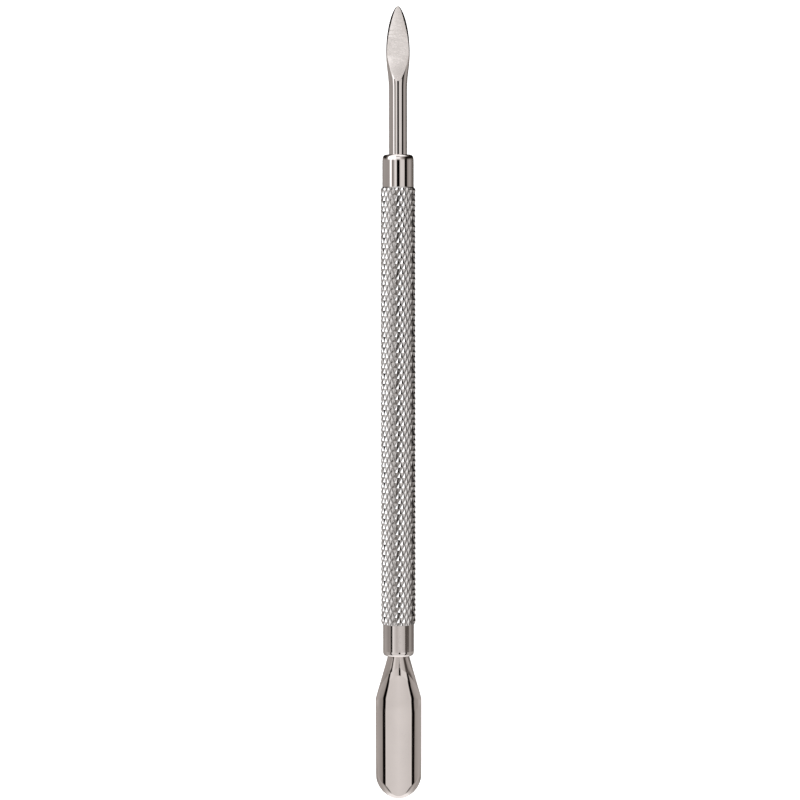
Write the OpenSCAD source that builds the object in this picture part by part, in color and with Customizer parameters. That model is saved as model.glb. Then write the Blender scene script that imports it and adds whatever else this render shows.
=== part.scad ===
// Cuticle pusher: a knurled handle tube with a turned collar pressed into each
// end. One collar holds a leaf-shaped spear, the other a spoon-shaped pusher.
// It lies on a table at z = 0, length along Y, spear towards +Y, spoon towards
// -Y with its rounded back up. Lengths are in millimetres.

/* [Handle] */
// Diameter over the crests of the knurl
grip_d = 6.0; // [5.8:0.1:8]
// Length of the knurled tube
grip_len = 75.5; // [60:0.5:90]
// Bore of the tube
grip_bore_d = 4.4; // [4.2:0.1:4.6]
// Chamfer at the spear end of the tube
grip_chamfer = 0.25; // [0.1:0.05:0.5]
// Length of the rounding at the spoon end of the tube
grip_round_len = 0.85; // [0.4:0.05:1.2]
// Depth of the rounding at the spoon end of the tube
grip_round_depth = 0.45; // [0.2:0.05:0.6]

/* [Collars] */
// Diameter of the plain collars
collar_d = 5.38; // [5:0.02:5.6]
// Length of each collar outside the tube
collar_len = 5.5; // [4:0.1:8]
// Width of the rounded shoulder
shoulder_w = 0.95; // [0.5:0.05:1.1]
// Height of the rounded shoulder
shoulder_h = 0.9; // [0.5:0.05:1.3]
// Fullness of the shoulder's curve, 2 for an ellipse
shoulder_n = 3.0; // [2:0.1:4]
// Length of the spigot pressed into the tube
spigot_len = 9.0; // [6:0.5:12]
// Lead-in chamfer at the inner end of the spigot
spigot_chamfer = 0.3; // [0.1:0.05:0.5]
// Diameter of the bore for the tang
tang_d = 2.2; // [1.6:0.1:2.6]
// Length of each tang
tang_len = 12.0; // [6:0.5:14]

/* [Spear] */
// Diameter of the round shank
shank_d = 3.1; // [2.8:0.1:3.6]
// Length from the collar to the point
spear_len = 25.4; // [22:0.1:30]
// Distance from the point to the widest place of the leaf
leaf_len = 8.1; // [7:0.1:10]
// Largest width of the leaf
leaf_w = 4.05; // [3.7:0.05:5]
// Length of the ground face, from the point to its rounded end
face_len = 12.85; // [11.5:0.05:14]
// Height of the ground face over the handle's axis at the widest place
face_h = 0.42; // [0.2:0.02:0.6]
// Thickness at the point
point_t = 0.4; // [0.3:0.05:0.6]

/* [Spoon] */
// Diameter of the neck at the collar
neck_d = 3.7; // [3.2:0.1:4.4]
// Length from the collar to the tip of the spoon
spoon_len = 25.4; // [22:0.1:30]
// Width of the spoon
spoon_w = 7.95; // [6.5:0.05:9]
// Length of the flare between the neck and the full width
flare_len = 7.6; // [6:0.1:9]
// Radius of the spoon's rounded back
back_r = 5.4; // [5:0.1:7]
// Height of the spoon's back over the bent centre line
back_h = 1.25; // [1:0.05:1.5]
// Wall in the middle of the spoon
spoon_wall = 0.8; // [0.6:0.05:1]
// Wall at the spoon's edge
edge_wall = 0.3; // [0.2:0.05:0.5]

/* [Hidden] */
$fn = 96;
axis_z = grip_d / 2;
grip_half = grip_len / 2;
collar_r = collar_d / 2;
tang_r = tang_d / 2;
shank_r = shank_d / 2;
neck_r = neck_d / 2;
tip_start = grip_half + collar_len;
spear_end = tip_start + spear_len;
leaf_mid = spear_end - leaf_len;
leaf_ease = 1.35;   // length over which the round shank starts to turn into the leaf
leaf_root = spear_end - face_len - leaf_ease;
half_w = spoon_w / 2;
spoon_end = tip_start + spoon_len;
round_start = spoon_end - half_w;
straight_len = 2.2; // length of the neck before it starts to bend
bend_start = 1.5;   // how far past that the bend counts from
rim_land = 0.5;     // width of the flat rim under the spoon's edge
scoop_len = 13;     // length over which the round neck turns into the scoop
end_w = 0.12;       // half-width of the last section at either tip
least_wall = 0.01;  // least thickness of a section where top and underside meet
face_start = spear_end - face_len;
crown_h = 1.1;      // height of the leaf's top over its widest line, where it is widest, before grinding
rim_share = 0.74;   // share of that height left near the point
nose_len = 0.6;     // length of the blunt nose the face doesn't reach
nose_share = 0.95;  // share of the height left on the nose
shoulder_steps = 12; // steps over a collar's shoulder
widest_edge = 60;   // steepest place, in degrees, where the top of a leaf section begins
top_n = 16;         // steps over the top of a leaf section
under_n = 36;       // steps round its sides and back
leaf_rings = 50;    // sections along the leaf
body_rings = 44;    // sections along the flare and the body of the spoon
round_rings = 14;   // sections along the rounded end of the spoon
across_n = 28;      // steps across the spoon's back, and as many under it

function mix(a, b, t) = a + (b - a) * t;
function ease(t) = let (c = min(1, max(0, t))) c * c * (3 - 2 * c);
function arc(cx, cy, rx, ry, a0, a1, n) =
    [for (i = [0 : n]) let (a = mix(a0, a1, i / n)) [cx + rx * cos(a), cy + ry * sin(a)]];

// Turns a profile, drawn with its radius on X and its station on Y, about the handle's axis.
module turned(profile) {
    translate([0, 0, axis_z]) rotate([-90, 0, 0]) rotate_extrude() polygon(profile);
}

// Closed skin over rings of points; the rings follow one another along -Y.
module skin(rings) {
    n = len(rings[0]);
    m = len(rings);
    side = [for (i = [0 : m - 2], j = [0 : n - 1]) let (k = (j + 1) % n)
        each [[i * n + j, i * n + k, (i + 1) * n + k], [i * n + j, (i + 1) * n + k, (i + 1) * n + j]]];
    polyhedron(
        points = [for (r = rings, p = r) p],
        faces = concat([[for (j = [n - 1 : -1 : 0]) j]], side, [[for (j = [0 : n - 1]) (m - 1) * n + j]])
    );
}

// Handle: a tube, knurled all over its outside; this solid stands at the knurl's crests.
module grip_tube() {
    color("silver") turned(concat(
        [[grip_bore_d / 2, -grip_half]],
        arc(axis_z - grip_round_depth, -grip_half + grip_round_len,
            grip_round_depth, grip_round_len, -90, 0, 8),
        [[axis_z, grip_half - grip_chamfer], [axis_z - grip_chamfer, grip_half],
         [grip_bore_d / 2, grip_half]]
    ));
}

// Collar drawn for the spear end: a spigot inside the tube and a barrel with a rounded shoulder.
module collar() {
    spigot_r = grip_bore_d / 2;
    spigot_end = grip_half - spigot_len;
    turned(concat(
        [[tang_r, spigot_end], [spigot_r - spigot_chamfer, spigot_end],
         [spigot_r, spigot_end + spigot_chamfer], [spigot_r, grip_half], [collar_r, grip_half]],
        [for (i = [0 : shoulder_steps])
            let (a = 90 * i / shoulder_steps)
            [collar_r - shoulder_w * (1 - pow(cos(a), 2 / shoulder_n)),
             tip_start - shoulder_h * (1 - pow(sin(a), 2 / shoulder_n))]],
        [[tang_r, tip_start]]
    ));
}

module spear_collar() {
    color("lightsteelblue") collar();
}

module spoon_collar() {
    color("lightsteelblue") mirror([0, 1, 0]) collar();
}

// Leaf: half of its width at a station, an arc to the point and an easy taper to the shank.
function leaf_half(y) =
    y > leaf_mid
    ? max(end_w, leaf_w / 2 * pow(max(0, 1 - pow((y - leaf_mid) / leaf_len, 2)), 0.6))
    : mix(shank_r, leaf_w / 2, ease((y - leaf_root) / (leaf_mid - leaf_root)));

// Leaf: share of the crown that the ground face leaves.
function cut_share(y) =
    let (v = (leaf_mid - y) / (leaf_mid - face_start))
    y > leaf_mid
    ? mix(mix(face_h / crown_h, rim_share, ease((y - leaf_mid) / leaf_len)), nose_share,
          ease((y - spear_end + nose_len) / nose_len))
    : sqrt(mix(pow(face_h / crown_h, 2), 1, v * (v + 0.5) / 1.5));

// Leaf: height of the ground face over the handle's axis.
function face_z(y) =
    y > leaf_mid
    ? mix(face_h, -point_t / 2, 1 - pow(max(0, spear_end - y) / leaf_len, 1.5))
    : crown(y) * cut_share(y);

// Leaf: height of its widest line, height of the crown over that line and level of its back.
function waist_z(y) = y > leaf_mid ? face_z(y) - cut_share(y) * crown(y) : 0;
function crown(y) =
    y > leaf_mid
    ? leaf_half(y) * mix(2 * crown_h / leaf_w, 1, ease((y - leaf_mid) / leaf_len))
    : mix(shank_r, crown_h, ease((y - face_start) / (leaf_mid - face_start)));
function back_z(y) = mix(-shank_r, -1.5 * point_t, pow((y - leaf_root) / (spear_end - leaf_root), 1.7));
function leaf_ring(y) =
    let (w = leaf_half(y), z0 = waist_z(y), up = crown(y), down = z0 - back_z(y),
         top = y > face_start ? face_z(y) : 2 * shank_r,
         edge = min(widest_edge, asin(min(1, (top - z0) / up))))
    [for (j = [0 : top_n + under_n - 1])
        let (a = j < top_n ? mix(180 - edge, edge, j / top_n)
                           : mix(edge, -180 - edge, (j - top_n) / under_n))
        [w * cos(a), y, axis_z + min(top, z0 + (sin(a) > 0 ? up : down) * sin(a))]];

// Spear: tang, round shank and leaf in one piece, the leaf ground flat on top.
module spear_tip() {
    color("gainsboro") {
        turned([[0, tip_start - tang_len], [tang_r, tip_start - tang_len],
                [tang_r, tip_start + 1], [0, tip_start + 1]]);
        skin(concat(
            [for (i = [0 : leaf_rings]) leaf_ring(mix(spear_end, leaf_root, i / leaf_rings))],
            [[for (p = leaf_ring(leaf_root)) [p[0], tip_start, p[2]]]]
        ));
    }
}

// Spoon, by the distance s from the middle of the handle: half of its width and radius of its back.
function spoon_half(s) =
    s > round_start
    ? max(end_w, sqrt(max(0, half_w * half_w - pow(s - round_start, 2))))
    : mix(neck_r, half_w, min(1, (s - tip_start) / flare_len));
function spread(s) = ease((s - tip_start) / flare_len);
function sink(s) = ease((s - tip_start - straight_len) / flare_len);
function spoon_r(s) = mix(neck_r, back_r, min(1, (s - tip_start) / flare_len) * mix(0.85, 1, spread(s)));

// Spoon: drop of the bent centre line; the rim of the spoon comes to rest on the table.
sag = back_r - sqrt(back_r * back_r - half_w * half_w);
rim_drop = sag + edge_wall - back_h;
rest_s = round_start + sqrt(half_w * half_w - pow(half_w - rim_land, 2));
slope = (axis_z - rim_drop) / (rest_s - tip_start - straight_len - bend_start);
function drop(s) = let (d = max(0, s - tip_start - straight_len))
    slope * (d < 2 * bend_start ? d * d / (4 * bend_start) : d - bend_start);
function crest(s) = axis_z - drop(s) + mix(neck_r, back_h, sink(s));

// Spoon: height of the back and of the underside over the table, at x across.
function top_z(s, x) = let (r = max(spoon_r(s), abs(x))) crest(s) - r + sqrt(r * r - x * x);
function under_z(s, x) =
    let (g = ease((s - tip_start) / scoop_len),
         w = s > round_start ? half_w : spoon_half(s),
         reach = mix(w, w - rim_land, g),
         rim = s > round_start ? crest(s) - sag - edge_wall
                               : top_z(s, w) - edge_wall * spread(s),
         thick = mix(spoon_wall, edge_wall, ease((s - round_start + half_w) / spoon_w)),
         middle = mix(-neck_r, crest(s) - rim - thick, g))
    rim + middle * pow(max(0, 1 - pow(x / reach, 2)), mix(0.5, 1, g));
function spoon_ring(s) = let (w = spoon_half(s)) concat(
    [for (i = [0 : across_n]) let (x = -w * cos(180 * i / across_n)) [x, -s, top_z(s, x)]],
    [for (i = [0 : across_n]) let (x = w * cos(180 * i / across_n))
        [x, -s, min(under_z(s, x), top_z(s, x) - (s > tip_start + 1 ? edge_wall * spread(s) : 0) - least_wall)]]
);

// Spoon: tang, neck and spoon in one piece.
module spoon_tip() {
    color("gainsboro") {
        mirror([0, 1, 0])
            turned([[0, tip_start - tang_len], [tang_r, tip_start - tang_len],
                    [tang_r, tip_start + 1], [0, tip_start + 1]]);
        skin(concat(
            [for (i = [0 : body_rings - 1]) spoon_ring(mix(tip_start, round_start, i / body_rings))],
            [for (i = [0 : round_rings]) spoon_ring(round_start + half_w * sin(90 * i / round_rings))]
        ));
    }
}

grip_tube();
spear_collar();
spoon_collar();
spear_tip();
spoon_tip();
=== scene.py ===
"""Visual model of a double-ended cuticle pusher with a knurled handle, for Blender 4.5.

Units are metres. The tool lies along Y with the spear towards +Y, and the table is at z = 0.
"""

import logging
import math
from dataclasses import dataclass
from enum import Enum
from typing import Callable, Iterable

import bpy
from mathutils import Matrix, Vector

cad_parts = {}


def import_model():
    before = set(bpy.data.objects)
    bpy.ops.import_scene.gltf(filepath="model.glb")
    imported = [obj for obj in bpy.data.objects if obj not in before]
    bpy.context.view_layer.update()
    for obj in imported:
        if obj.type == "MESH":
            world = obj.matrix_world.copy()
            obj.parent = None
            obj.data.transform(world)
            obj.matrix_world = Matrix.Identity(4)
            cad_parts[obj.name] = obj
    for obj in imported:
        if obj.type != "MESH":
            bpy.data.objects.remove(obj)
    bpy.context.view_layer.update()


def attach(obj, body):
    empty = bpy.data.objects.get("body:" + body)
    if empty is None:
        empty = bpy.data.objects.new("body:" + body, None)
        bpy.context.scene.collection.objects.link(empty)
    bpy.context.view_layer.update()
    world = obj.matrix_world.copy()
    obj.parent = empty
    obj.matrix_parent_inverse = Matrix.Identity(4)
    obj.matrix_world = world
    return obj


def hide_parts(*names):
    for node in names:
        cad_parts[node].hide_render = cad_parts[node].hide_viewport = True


LOG = logging.getLogger("cuticle_pusher")
MM = 0.001
AXIS = 3.0 * MM  # height of the handle's axis over the table
RIGHT_ANGLE = math.pi / 2

Point = tuple[float, float, float]
Colour = tuple[float, float, float]

ALONG: Point = (0.0, 1.0, 0.0)


class End(Enum):
    """An end of the tool: which way along Y it looks."""

    SPEAR = 1.0
    SPOON = -1.0


# ---------------------------------------------------------------- small maths


def mix(a: float, b: float, t: float) -> float:
    """Go from a to b.

    Args:
        a: Value at t = 0.
        b: Value at t = 1.
        t: How far along.

    Returns:
        The value in between.
    """
    return a + (b - a) * t


def ease(t: float) -> float:
    """Smooth step.

    Args:
        t: How far along; it is held between 0 and 1.

    Returns:
        A value from 0 to 1 that starts and ends level.
    """
    c = min(1.0, max(0.0, t))
    return c * c * (3.0 - 2.0 * c)


# ---------------------------------------------------------------- workshop: mesh operators


@dataclass(frozen=True)
class Oval:
    """One section of a lofted bar: half an upright ellipse over its widest line and another half under it."""

    station: float
    half: float
    rise: float
    centre: float
    under: float


class Bench:
    """The workbench: modelling steps that the pieces share."""

    @staticmethod
    def clear() -> None:
        """Leave edit mode and deselect everything."""
        if bpy.context.object is not None and bpy.context.object.mode != "OBJECT":
            bpy.ops.object.mode_set(mode="OBJECT")
        bpy.ops.object.select_all(action="DESELECT")

    @staticmethod
    def named(name: str) -> bpy.types.Object:
        """Name the primitive that was just added.

        Args:
            name: The piece's name.

        Returns:
            The active object.
        """
        obj = bpy.context.object
        obj.name = name
        obj.data.name = name
        return obj

    @staticmethod
    def only(obj: bpy.types.Object) -> None:
        """Select one object and make it active.

        Args:
            obj: The object.
        """
        Bench.clear()
        obj.select_set(True)
        bpy.context.view_layer.objects.active = obj

    @staticmethod
    def edit(obj: bpy.types.Object, kind: str = "VERT") -> None:
        """Open an object in edit mode with everything selected.

        Args:
            obj: The object.
            kind: VERT, EDGE or FACE.
        """
        Bench.only(obj)
        bpy.ops.object.mode_set(mode="EDIT")
        bpy.ops.mesh.select_mode(type=kind)
        bpy.ops.mesh.select_all(action="SELECT")

    @staticmethod
    def pick_verts(obj: bpy.types.Object, test: Callable[[Vector], bool]) -> int:
        """Select the vertices that pass a test, in edit mode.

        Args:
            obj: The object being edited.
            test: Says whether a place is wanted.

        Returns:
            How many were selected.
        """
        bpy.ops.mesh.select_mode(type="VERT")
        bpy.ops.mesh.select_all(action="DESELECT")
        bpy.ops.object.mode_set(mode="OBJECT")
        count = 0
        for v in obj.data.vertices:
            v.select = bool(test(v.co))
            count += v.select
        bpy.ops.object.mode_set(mode="EDIT")
        return count

    @staticmethod
    def close(obj: bpy.types.Object, tight: float = 1e-7) -> None:
        """Merge doubled vertices, turn the faces outwards and leave edit mode.

        Args:
            obj: The object.
            tight: Vertices nearer than this become one.
        """
        Bench.edit(obj)
        bpy.ops.mesh.remove_doubles(threshold=tight)
        bpy.ops.mesh.normals_make_consistent(inside=False)
        bpy.ops.object.mode_set(mode="OBJECT")

    @staticmethod
    def apply(obj: bpy.types.Object) -> None:
        """Apply every modifier on an object.

        Args:
            obj: The object.
        """
        Bench.only(obj)
        for m in list(obj.modifiers):
            bpy.ops.object.modifier_apply(modifier=m.name)

    @staticmethod
    def settle(obj: bpy.types.Object) -> None:
        """Put an object's place, turn and size into its mesh.

        Args:
            obj: The object.
        """
        Bench.only(obj)
        bpy.ops.object.transform_apply(location=True, rotation=True, scale=True)

    @staticmethod
    def place(
        obj: bpy.types.Object,
        at: Point = (0.0, 0.0, 0.0),
        turn: Point = (0.0, 0.0, 0.0),
        size: Point = (1.0, 1.0, 1.0),
    ) -> None:
        """Move, turn or stretch a settled object, and settle it again.

        Args:
            obj: The object.
            at: How far it moves.
            turn: Its turn about each axis.
            size: Its stretch along each axis.
        """
        obj.location, obj.rotation_euler, obj.scale = at, turn, size
        Bench.settle(obj)

    @staticmethod
    def smooth(obj: bpy.types.Object, degrees: float) -> None:
        """Shade smooth, with edges sharper than an angle left crisp.

        Args:
            obj: The object.
            degrees: The angle.
        """
        Bench.only(obj)
        bpy.ops.object.shade_smooth_by_angle(angle=math.radians(degrees))

    @staticmethod
    def part_finishes(obj: bpy.types.Object) -> None:
        """Keep the line where two finishes of one piece meet crisp.

        Args:
            obj: The piece.
        """
        edges = {edge.key: edge for edge in obj.data.edges}
        first: dict[tuple[int, int], int] = {}
        for face in obj.data.polygons:
            for key in face.edge_keys:
                if first.setdefault(key, face.material_index) != face.material_index:
                    edges[key].use_edge_sharp = True

    @staticmethod
    def array(obj: bpy.types.Object, step: Point, count: int) -> None:
        """Repeat an object by a constant step and merge the copies.

        Args:
            obj: The object.
            step: Offset from one copy to the next.
            count: How many there are in all.
        """
        row = obj.modifiers.new("row", "ARRAY")
        row.use_relative_offset = False
        row.use_constant_offset = True
        row.constant_offset_displace = step
        row.count = count
        Bench.apply(obj)

    @staticmethod
    def soften(obj: bpy.types.Object, width: float, degrees: float, segments: int = 2) -> None:
        """Break the sharp edges of a piece.

        Args:
            obj: The object.
            width: Width of the broken edge.
            degrees: Only edges sharper than this are broken.
            segments: Facets across the broken edge.
        """
        edge = obj.modifiers.new("edge", "BEVEL")
        edge.width = width
        edge.segments = segments
        edge.limit_method = "ANGLE"
        edge.angle_limit = math.radians(degrees)
        edge.use_clamp_overlap = True
        Bench.apply(obj)

    @staticmethod
    def cut_with(
        obj: bpy.types.Object, tool: bpy.types.Object, how: str, solver: str = "EXACT"
    ) -> None:
        """Cut an object with another one, which is then thrown away.

        Args:
            obj: The object that stays.
            tool: The cutting object.
            how: DIFFERENCE, INTERSECT or UNION.
            solver: EXACT or MANIFOLD.
        """
        cut = obj.modifiers.new("cut", "BOOLEAN")
        cut.operation = how
        cut.solver = solver
        cut.object = tool
        Bench.apply(obj)
        bpy.data.objects.remove(tool, do_unlink=True)

    @staticmethod
    def line(name: str, points: list[Point]) -> bpy.types.Object:
        """Draw a line from point to point, and leave it selected in edit mode.

        Args:
            name: The piece's name.
            points: Its corners, in order.

        Returns:
            The object being edited.
        """
        Bench.clear()
        bpy.ops.mesh.primitive_plane_add(size=MM)
        obj = Bench.named(name)
        Bench.edit(obj)
        bpy.ops.mesh.merge(type="CENTER")
        bpy.ops.transform.translate(value=points[0])
        for before, point in zip(points, points[1:]):
            step = tuple(b - a for a, b in zip(before, point))
            bpy.ops.mesh.extrude_region_move(TRANSFORM_OT_translate={"value": step})
        bpy.ops.mesh.select_all(action="SELECT")
        return obj

    @staticmethod
    def turned(
        name: str, profile: Iterable[tuple[float, float]], height: float, steps: int
    ) -> bpy.types.Object:
        """Turn a profile about the handle's axis, as on a lathe.

        Args:
            name: The piece's name.
            profile: Radius and station of each corner, in order, starting and ending on the axis.
            height: Height of the axis over the table.
            steps: Facets round the axis.

        Returns:
            The turned solid.
        """
        obj = Bench.line(name, [(radius, station, height) for radius, station in profile])
        bpy.ops.mesh.spin(steps=steps, angle=math.tau, center=(0.0, 0.0, height), axis=ALONG)
        Bench.close(obj)
        return obj

    @staticmethod
    def loft(name: str, rings: list[Oval], around: int) -> bpy.types.Object:
        """Draw a bar out of a disc, ring by ring, each ring pressed to its own oval.

        Args:
            name: The piece's name.
            rings: The ovals, in order along Y.
            around: Vertices round each ring.

        Returns:
            The closed bar.
        """
        first = rings[0]
        Bench.clear()
        bpy.ops.mesh.primitive_circle_add(
            vertices=around,
            radius=1.0,
            fill_type="NGON",
            location=(0.0, first.station, first.centre),
            rotation=(RIGHT_ANGLE, 0.0, 0.0),
        )
        obj = Bench.named(name)
        Bench.settle(obj)
        Bench.edit(obj, "FACE")
        bpy.ops.transform.resize(
            value=(first.half, 1.0, first.rise), center_override=(0.0, first.station, first.centre)
        )
        for before, ring in zip(rings, rings[1:]):
            step = (0.0, ring.station - before.station, ring.centre - before.centre)
            bpy.ops.mesh.extrude_region_move(TRANSFORM_OT_translate={"value": step})
            bpy.ops.transform.resize(
                value=(ring.half / before.half, 1.0, ring.rise / before.rise),
                center_override=(0.0, ring.station, ring.centre),
            )
        bpy.ops.object.mode_set(mode="OBJECT")
        near, below, alike = 0.001 * MM, 0.0001 * MM, 0.001
        for ring in rings:
            if math.isclose(ring.under, ring.rise, rel_tol=alike):
                continue
            Bench.edit(obj)
            Bench.pick_verts(obj, lambda c, r=ring: abs(c.y - r.station) < near and c.z < r.centre - below)
            bpy.ops.transform.resize(
                value=(1.0, 1.0, ring.under / ring.rise), center_override=(0.0, ring.station, ring.centre)
            )
            bpy.ops.object.mode_set(mode="OBJECT")
        Bench.close(obj)
        return obj

    @staticmethod
    def slab(name: str, outline: list[tuple[float, float]], half_width: float) -> bpy.types.Object:
        """Make a cutter from a side outline, pulled out across the tool.

        Args:
            name: The cutter's name.
            outline: Station and height of each corner, in order round the outline.
            half_width: How far it reaches to either side.

        Returns:
            The closed cutter.
        """
        obj = Bench.line(name, [(-half_width, station, height) for station, height in outline])
        bpy.ops.mesh.edge_face_add()
        bpy.ops.mesh.extrude_region_move(TRANSFORM_OT_translate={"value": (2.0 * half_width, 0.0, 0.0)})
        Bench.close(obj)
        return obj


# ---------------------------------------------------------------- shader groups


class Nodes:
    """A small helper that adds and links shader nodes, laid out in rows."""

    per_row = 8
    spacing = (180.0, -260.0)

    def __init__(self, tree: bpy.types.NodeTree) -> None:
        """Work on one node tree.

        Args:
            tree: The tree.
        """
        self.tree = tree
        self.count = 0

    def add(self, kind: str, **settings: object) -> bpy.types.Node:
        """Add a node.

        Args:
            kind: The node's type.
            **settings: Properties to set on it.

        Returns:
            The node.
        """
        node = self.tree.nodes.new(kind)
        row, column = divmod(self.count, self.per_row)
        node.location = (self.spacing[0] * column, self.spacing[1] * row)
        self.count += 1
        for key, value in settings.items():
            setattr(node, key, value)
        return node

    def link(self, out: bpy.types.NodeSocket, into: bpy.types.NodeSocket) -> None:
        """Join an output to an input.

        Args:
            out: The output socket.
            into: The input socket.
        """
        self.tree.links.new(out, into)

    def math(self, how: str, a: object, b: object = None, c: object = None) -> bpy.types.NodeSocket:
        """Add a Math node.

        Args:
            how: Its operation.
            a: First socket or number.
            b: Second socket or number.
            c: Third socket or number.

        Returns:
            Its output.
        """
        node = self.add("ShaderNodeMath", operation=how)
        for i, value in enumerate((a, b, c)):
            if value is None:
                continue
            if isinstance(value, bpy.types.NodeSocket):
                self.link(value, node.inputs[i])
            else:
                node.inputs[i].default_value = value
        return node.outputs[0]

    def span(
        self, value: bpy.types.NodeSocket, lo: float, hi: float, to_lo: float, to_hi: float
    ) -> bpy.types.NodeSocket:
        """Add a clamped Map Range node.

        Args:
            value: The socket to map.
            lo: Lowest input.
            hi: Highest input.
            to_lo: Output at the lowest input.
            to_hi: Output at the highest input.

        Returns:
            Its output.
        """
        node = self.add("ShaderNodeMapRange", clamp=True)
        self.link(value, node.inputs[0])
        for i, number in enumerate((lo, hi, to_lo, to_hi)):
            node.inputs[i + 1].default_value = number
        return node.outputs[0]


class Effects:
    """Shader node groups for effects that several finishes use."""

    @staticmethod
    def _group(
        name: str, ins: dict[str, float], outs: list[str]
    ) -> tuple[Nodes, bpy.types.Node, bpy.types.Node]:
        """Start a group.

        Args:
            name: The group's name.
            ins: Its number inputs and their defaults.
            outs: Its number outputs.

        Returns:
            The helper on its tree, its input node and its output node.
        """
        tree = bpy.data.node_groups.new(name, "ShaderNodeTree")
        for key, value in ins.items():
            socket = tree.interface.new_socket(key, in_out="INPUT", socket_type="NodeSocketFloat")
            socket.default_value = value
        for key in outs:
            tree.interface.new_socket(key, in_out="OUTPUT", socket_type="NodeSocketFloat")
        nodes = Nodes(tree)
        return nodes, nodes.add("NodeGroupInput"), nodes.add("NodeGroupOutput")

    @staticmethod
    def fine_lines() -> bpy.types.NodeTree:
        """Fine parallel marks that a grinding or polishing wheel leaves.

        Returns:
            The group: inputs Along, Across (marks per metre); outputs Height, Mask.
        """
        name, detail, mask_from, mask_to = "fine_lines", 3.0, 0.35, 0.7
        if name in bpy.data.node_groups:
            return bpy.data.node_groups[name]
        n, gin, gout = Effects._group(name, {"Along": 300.0, "Across": 9000.0}, ["Height", "Mask"])
        place = n.add("ShaderNodeTexCoord")
        size = n.add("ShaderNodeCombineXYZ")
        n.link(gin.outputs["Across"], size.inputs[1])
        n.link(gin.outputs["Along"], size.inputs[0])
        n.link(gin.outputs["Along"], size.inputs[2])
        scaled = n.add("ShaderNodeVectorMath", operation="MULTIPLY")
        n.link(place.outputs["Object"], scaled.inputs[0])
        n.link(size.outputs[0], scaled.inputs[1])
        noise = n.add("ShaderNodeTexNoise")
        noise.inputs["Scale"].default_value = 1.0
        noise.inputs["Detail"].default_value = detail
        n.link(scaled.outputs[0], noise.inputs["Vector"])
        n.link(noise.outputs["Fac"], gout.inputs["Height"])
        n.link(n.span(noise.outputs["Fac"], mask_from, mask_to, 0.0, 1.0), gout.inputs["Mask"])
        return n.tree

    @staticmethod
    def soft_film() -> bpy.types.NodeTree:
        """Broad, faint patches where a polished surface has been handled and wiped.

        Returns:
            The group: input Scale (patches per metre); output Mask.
        """
        name, detail, roughness, mask_from, mask_to = "soft_film", 2.0, 0.45, 0.38, 0.68
        if name in bpy.data.node_groups:
            return bpy.data.node_groups[name]
        n, gin, gout = Effects._group(name, {"Scale": 220.0}, ["Mask"])
        place = n.add("ShaderNodeTexCoord")
        noise = n.add("ShaderNodeTexNoise")
        noise.inputs["Detail"].default_value = detail
        noise.inputs["Roughness"].default_value = roughness
        n.link(gin.outputs["Scale"], noise.inputs["Scale"])
        n.link(place.outputs["Object"], noise.inputs["Vector"])
        n.link(n.span(noise.outputs["Fac"], mask_from, mask_to, 0.0, 1.0), gout.inputs["Mask"])
        return n.tree

    @staticmethod
    def groove_depth() -> bpy.types.NodeTree:
        """How deep a point lies in a knurl that is cut round the handle's axis.

        Returns:
            The group: inputs Axis, Root, Crest (metres); output Mask, 0 in the grooves and 1 on the crests.
        """
        name = "groove_depth"
        if name in bpy.data.node_groups:
            return bpy.data.node_groups[name]
        n, gin, gout = Effects._group(name, {"Axis": 0.003, "Root": 0.0027, "Crest": 0.003}, ["Mask"])
        place = n.add("ShaderNodeTexCoord")
        xyz = n.add("ShaderNodeSeparateXYZ")
        n.link(place.outputs["Object"], xyz.inputs[0])
        height = n.math("SUBTRACT", xyz.outputs[2], gin.outputs["Axis"])
        across = n.math("MULTIPLY", xyz.outputs[0], xyz.outputs[0])
        radius = n.math("SQRT", n.math("ADD", across, n.math("MULTIPLY", height, height)))
        share = n.math(
            "DIVIDE",
            n.math("SUBTRACT", radius, gin.outputs["Root"]),
            n.math("SUBTRACT", gin.outputs["Crest"], gin.outputs["Root"]),
        )
        n.link(n.span(share, 0.0, 1.0, 0.0, 1.0), gout.inputs["Mask"])
        return n.tree


# ---------------------------------------------------------------- finishes


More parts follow.
